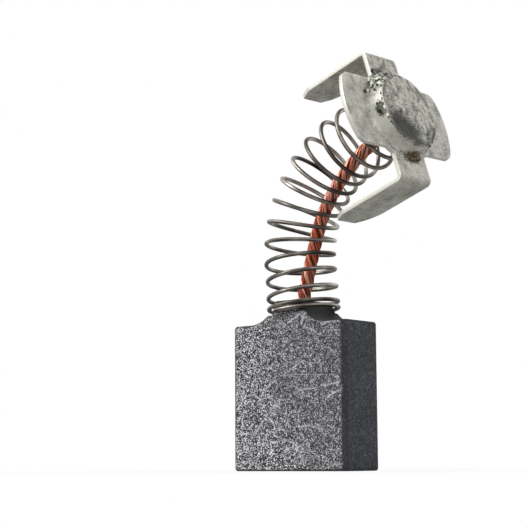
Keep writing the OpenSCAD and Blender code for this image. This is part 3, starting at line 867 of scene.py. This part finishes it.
def stains_at(p, from_edge):
    """How much the sheet is tarnished, rubbed bright or given a painted highlight, sooty or given painted
    shade, and varnished with flux at a point.
    """
    angle, r = polar(p)
    outer = p.z > -0.1
    front = outer and r < 5.9
    face = front and p.z > 1.55
    wall = front and 0.05 < p.z <= 1.6 and r > 4.5

    def spot(held, strength, middle, spread, circle, width):
        """The strength of a stain, painted highlight or painted shade that keeps to one part of the sheet,
        round an angle and a circle.
        """
        return strength * near_angle(angle, middle, spread) * ring(r, circle, width) if held else 0.0

    tarnish = 1.0 if face else 0.3 + 0.25 * near_angle(angle, 90, 70) + 0.7 * near_angle(angle, 180, 40)
    if p.z < -FOLD_R:
        tarnish = 0.25
    if wall:
        tarnish = 0.9 * near_angle(angle, 170, 60)

    # Edge wear pales the sheet along its sharp edges. The rim on the near side, the fillet between the cap
    # and the near wing and the cap's near wall are painted highlights, paler where light catches them
    edge_wear = 0.45 * fading(from_edge, 0.2)
    rim = spot(front and p.z > 1.4, 1.3, 262, 66, 4.55, 0.17)
    fillet_glint = spot(front, 0.45, 280, 55, 5.5, 0.12)
    skirt_glint = 0.6 * near_angle(angle, 300, 34) if wall else 0.0
    glint_and_edge_wear = max(rim, edge_wear, skirt_glint, fillet_glint)

    # Soot and stains darken the face, the rim and the sheet round the cap. The groove round the face and the
    # seam at the cap's foot are painted shade, and the far rim carries a painted shadow, the dark gap behind
    # the cap
    patch = spot(face, 1.3, 324, 76, 3.4, 1.35)
    tail = spot(face, 0.9, 358, 34, 4.2, 0.7)
    face_groove_shade = spot(face, 0.6, 235, 60, 4.15, 0.16)
    top = spot(front, 0.55, 205, 38, 4.6, 0.7)
    far_patch = spot(front, 1.1, 50, 34, 4.55, 0.45)
    far_rim_shadow = spot(front, 0.95, 105, 95, 4.72, 0.15)
    arm_root = spot(outer, 0.95, 191, 17, 5.9, 0.4)
    wall_patch = max(1.1 * near_angle(angle, 275, 17) * eased((p.z - 0.4) / 0.7),
                     0.95 * near_angle(angle, 204, 26)) if wall else 0.0
    seam_shade = 0.5 * ring(r, 5.3, 0.2) * (1 - near_angle(angle, 290, 50)) if front else 0.0
    soot_and_shade = max(patch, tail, face_groove_shade, top, far_patch, far_rim_shadow, arm_root, wall_patch, seam_shade)

    drip = spot(front and p.z < 0.8, 1.2, 6, 30, 5.5, 0.7)
    return tarnish, glint_and_edge_wear, soot_and_shade, drip


def terminal_sheet():
    """The terminal: blank cut out, arms folded, cap drawn up, sheet thickened and its cut edges eased."""
    outline = blank_outline()
    hole = arc((0, 0), CAP_FOOT_R, 0, 360, CAP_SIDES)[:-1]
    loops = [(k, (k + 1) % len(outline)) for k in range(len(outline))]
    loops += [(len(outline) + k, len(outline) + (k + 1) % CAP_SIDES) for k in range(CAP_SIDES)]
    sheet = new_piece("terminal_sheet", [(x, y, 0) for x, y in outline + hole], loops)
    edited(bpy.ops.mesh.fill, use_beauty=True)
    for side in (-1, 1):
        for k in range(FOLD_STEPS + 1):
            x = side * (FOLD_START + FOLD_R * math.pi / 2 * k / FOLD_STEPS)
            edited(bpy.ops.mesh.bisect, plane_co=(x, 0, 0), plane_no=(1, 0, 0))
    for v in sheet.data.vertices:
        v.co = folded(v.co)

    profile = cap_profile()
    cap = new_piece("cap", [(r, 0, z) for r, z in profile], [(k, k + 1) for k in range(len(profile) - 1)])
    edited(bpy.ops.mesh.spin, steps=CAP_SIDES, angle=2 * math.pi, center=(0, 0, 0), axis=(0, 0, 1))
    sheet = joined([sheet, cap])
    edited(bpy.ops.mesh.remove_doubles, threshold=0.003)
    edited(bpy.ops.mesh.normals_make_consistent, inside=False)
    for v in sheet.data.vertices:
        if polar(v.co)[1] < CAP_FOOT_R - 0.001 and v.co.z > 0.001:
            v.co = worn_cap(v.co)
    top = max(sheet.data.polygons, key=lambda f: f.center.z)
    if top.normal.z < 0:
        sheet.data.flip_normals()
    applied(sheet, "SOLIDIFY", thickness=SHEET_T, offset=-1, use_even_offset=True, use_quality_normals=True)
    edges = sharp_edges(sheet, angle=60)
    applied(sheet, "BEVEL", width=0.07, segments=3, limit_method="ANGLE", angle_limit=math.radians(50))
    # A grid of cuts over the flat parts, close enough to carry the stains
    for axis, first, last in ((0, -8.1, 8.1), (1, -9.0, 9.0), (2, -10.8, -0.6)):
        square = [float(k == axis) for k in range(3)]
        for k in range(round((last - first) / STAIN_STEP) + 1):
            at = [(first + STAIN_STEP * k) * x for x in square]
            edited(bpy.ops.mesh.bisect, plane_co=at, plane_no=square)

    places = [v.co.copy() for v in sheet.data.vertices]
    give_vectors(sheet, "sheet", places)
    # The sheared edge faces are marked paler, partly as a painted highlight where light catches them
    give_floats(sheet, "cut", [float(is_cut(f.center, f.normal)) for f in sheet.data.polygons], "FACE")
    stains = [stains_at(p, edges.find(p)[2]) for p in places]
    for k, stain in enumerate(("tarnish", "glint_and_edge_wear", "soot_and_shade", "flux")):
        give_floats(sheet, stain, [at_vertex[k] for at_vertex in stains])
    finished(sheet, tinned_sheet(), smooth=35, place=CAP_FRAME)
    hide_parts("terminal")
    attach(sheet, "terminal")


def flux_crust():
    """Beads of solder and flux that ran over the cap's rim and round its foot, and set as one."""
    random = Random(11)
    # Each run's middle and spread in degrees, its count and size of beads, and from where to where it
    # ran: 0 is the cap's rim, 1 its foot, and more is out on the sheet
    runs = ((231, 13, 34, 0.42, 0.0, 1.0), (200, 9, 14, 0.4, 0.45, 1.0), (191, 13, 24, 0.3, 1.1, 2.1),
            (272, 32, 30, 0.13, 0.0, 0.05), (275, 9, 12, 0.26, 0.15, 0.45), (7, 13, 16, 0.3, 1.0, 1.35),
            (52, 12, 8, 0.25, 0.2, 0.8))
    beads = []
    for middle, spread, count, size, high, low in runs:
        for k in range(count):
            angle = math.radians(middle + random.uniform(-1, 1) * spread)
            down = random.uniform(high, low)
            r = CAP_TOP_R - 0.12 + 0.75 * down
            z = max(0.05, 1.72 * (1 - down))
            bpy.ops.object.select_all(action="DESELECT")
            bpy.ops.mesh.primitive_ico_sphere_add(subdivisions=2, radius=size * random.uniform(0.5, 1.0),
                                                  location=(r * math.cos(angle), r * math.sin(angle), z))
            beads.append(bpy.context.active_object)
    crust = joined(beads)
    crust.name = "flux_crust"
    bpy.ops.object.transform_apply(location=True, rotation=True, scale=True)
    applied(crust, "REMESH", mode="VOXEL", voxel_size=CRUST_CELL)
    moved(crust, lambda p, normal: normal * (0.1 * noise.noise(p * 2.4) + 0.05 * noise.noise(p * 6.0)))
    applied(crust, "SMOOTH", factor=0.5, iterations=2)
    angles = [polar(v.co)[0] for v in crust.data.vertices]
    give_floats(crust, "burnt", [max(near_angle(a, 194, 30), near_angle(a, 277, 16), near_angle(a, 52, 30))
                                 for a in angles])
    give_floats(crust, "resin", [near_angle(a, 8, 40) for a in angles])
    finished(crust, burnt_flux(), smooth=80, place=CAP_FRAME)
    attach(crust, "terminal")


def solder_mound():
    """The solder inside the cap, with a lumpy, shrunk surface round the shunt's end."""
    def shrunk(p, normal):
        return -normal * (0.04 + 0.05 * noise.noise(p * 0.9) + 0.02 * noise.noise(p * 2.5))

    mound = copy_of_node("solder", "solder_mound")
    applied(mound, "REMESH", mode="VOXEL", voxel_size=SOLDER_CELL)
    moved(mound, shrunk)
    applied(mound, "SMOOTH", factor=0.5, iterations=3)
    finished(mound, frosted_solder(), smooth=60)
    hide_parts("solder")
    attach(mound, "terminal")


# ---- The setting

def place_camera():
    """A long lens close to the floor, looking up a little, from the front right."""
    turn, rise, roll = (math.radians(a) for a in (CAMERA_TURN, CAMERA_RISE, CAMERA_ROLL))
    back = Vector((math.sin(turn) * math.cos(rise), -math.cos(turn) * math.cos(rise), math.sin(rise)))
    right = Vector((math.cos(turn), math.sin(turn), 0))
    up = back.cross(right).normalized()
    across = math.cos(roll) * right + math.sin(roll) * up
    upright = -math.sin(roll) * right + math.cos(roll) * up
    pose = Matrix((across, upright, back)).transposed().to_4x4()
    pose.translation = (back * CAMERA_AWAY + right * CAMERA_SIDE + Vector((0, 0, CAMERA_LIFT))) * MM
    data = bpy.data.cameras.new("camera")
    data.sensor_width = SENSOR_W
    data.lens = LENS
    data.clip_start = 0.002
    camera = in_scene("camera", data)
    camera.matrix_world = pose
    bpy.context.scene.camera = camera


def lay_floor():
    """A plain pale floor, which keeps the object's shadow and fades into the white round it."""
    bpy.ops.object.select_all(action="DESELECT")
    bpy.ops.mesh.primitive_plane_add(size=20)
    floor = bpy.context.active_object
    floor.name = "floor"
    material, tree = new_material("pale_floor")
    matt = add(tree, "ShaderNodeBsdfDiffuse", {"Color": "#b4b4b2"})
    white = add(tree, "ShaderNodeEmission", {"Color": "#ffffff", "Strength": 1.0})
    place = add(tree, "ShaderNodeTexCoord")
    away = add(tree, "ShaderNodeVectorMath", {0: place.outputs["Object"]}, operation="LENGTH")
    fade = add(tree, "ShaderNodeMapRange", {"Value": away, "From Min": 0.012, "From Max": 0.05,
                                            "To Min": 0.93, "To Max": 1.0})
    ray = add(tree, "ShaderNodeLightPath")
    lift = add(tree, "ShaderNodeMath", {0: ray.outputs["Is Camera Ray"], 1: fade}, operation="MULTIPLY")
    both = add(tree, "ShaderNodeMixShader", {0: lift, 1: matt, 2: white})
    add(tree, "ShaderNodeOutputMaterial", {"Surface": both})
    floor.data.materials.append(material)


def hang_lamp(name, towards, spread, strength):
    """A broad far lamp, as even as a big soft box, whose light comes from the given direction."""
    data = bpy.data.lights.new(name, "SUN")
    data.angle = math.radians(spread)
    data.energy = strength
    lamp = in_scene(name, data)
    lamp.matrix_world = Vector(towards).to_track_quat("Z", "Y").to_matrix().to_4x4()


def light_room():
    """A white room: plain soft light all round, white to the camera, in reflections and through glass."""
    world = bpy.data.worlds.new("white_room")
    world.use_nodes = True
    tree = world.node_tree
    tree.nodes.clear()
    ray = add(tree, "ShaderNodeLightPath")
    white = ray.outputs["Is Camera Ray"]
    for kind in ("Is Glossy Ray", "Is Transmission Ray"):
        white = add(tree, "ShaderNodeMath", {0: white, 1: ray.outputs[kind]}, operation="MAXIMUM")
    strength = add(tree, "ShaderNodeMapRange", {"Value": white, "To Min": 0.55, "To Max": 1.0})
    back = add(tree, "ShaderNodeBackground", {"Color": "#ffffff", "Strength": strength})
    add(tree, "ShaderNodeOutputWorld", {"Surface": back})
    bpy.context.scene.world = world
    hang_lamp("key_lamp", (-0.5, -0.8, 0.65), spread=25, strength=1.7)
    hang_lamp("side_lamp", (0.9, -0.3, 0.5), spread=30, strength=0.5)
    bpy.context.scene.view_settings.view_transform = "Standard"


place_camera()
lay_floor()
light_room()
block_body()
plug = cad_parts["tamping_plug"]
plug.data.materials.clear()
plug.data.materials.append(tamped_carbon())
spring = spring_wire()
shunt = shunt_wires()
terminal_sheet()
flux_crust()
solder_mound()

# The spring's and the shunt's placing is baked into their meshes. Each is listed with a low point by the neck
# and a high point by the cap, the shunt's a little further up than the spring's.
for piece, low, high in ((spring, (1.5, 0, 21.2), (13.5, 0, 38.3)), (shunt, (1.5, 0, 22.5), (15, 0, 40))):
    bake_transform(piece)
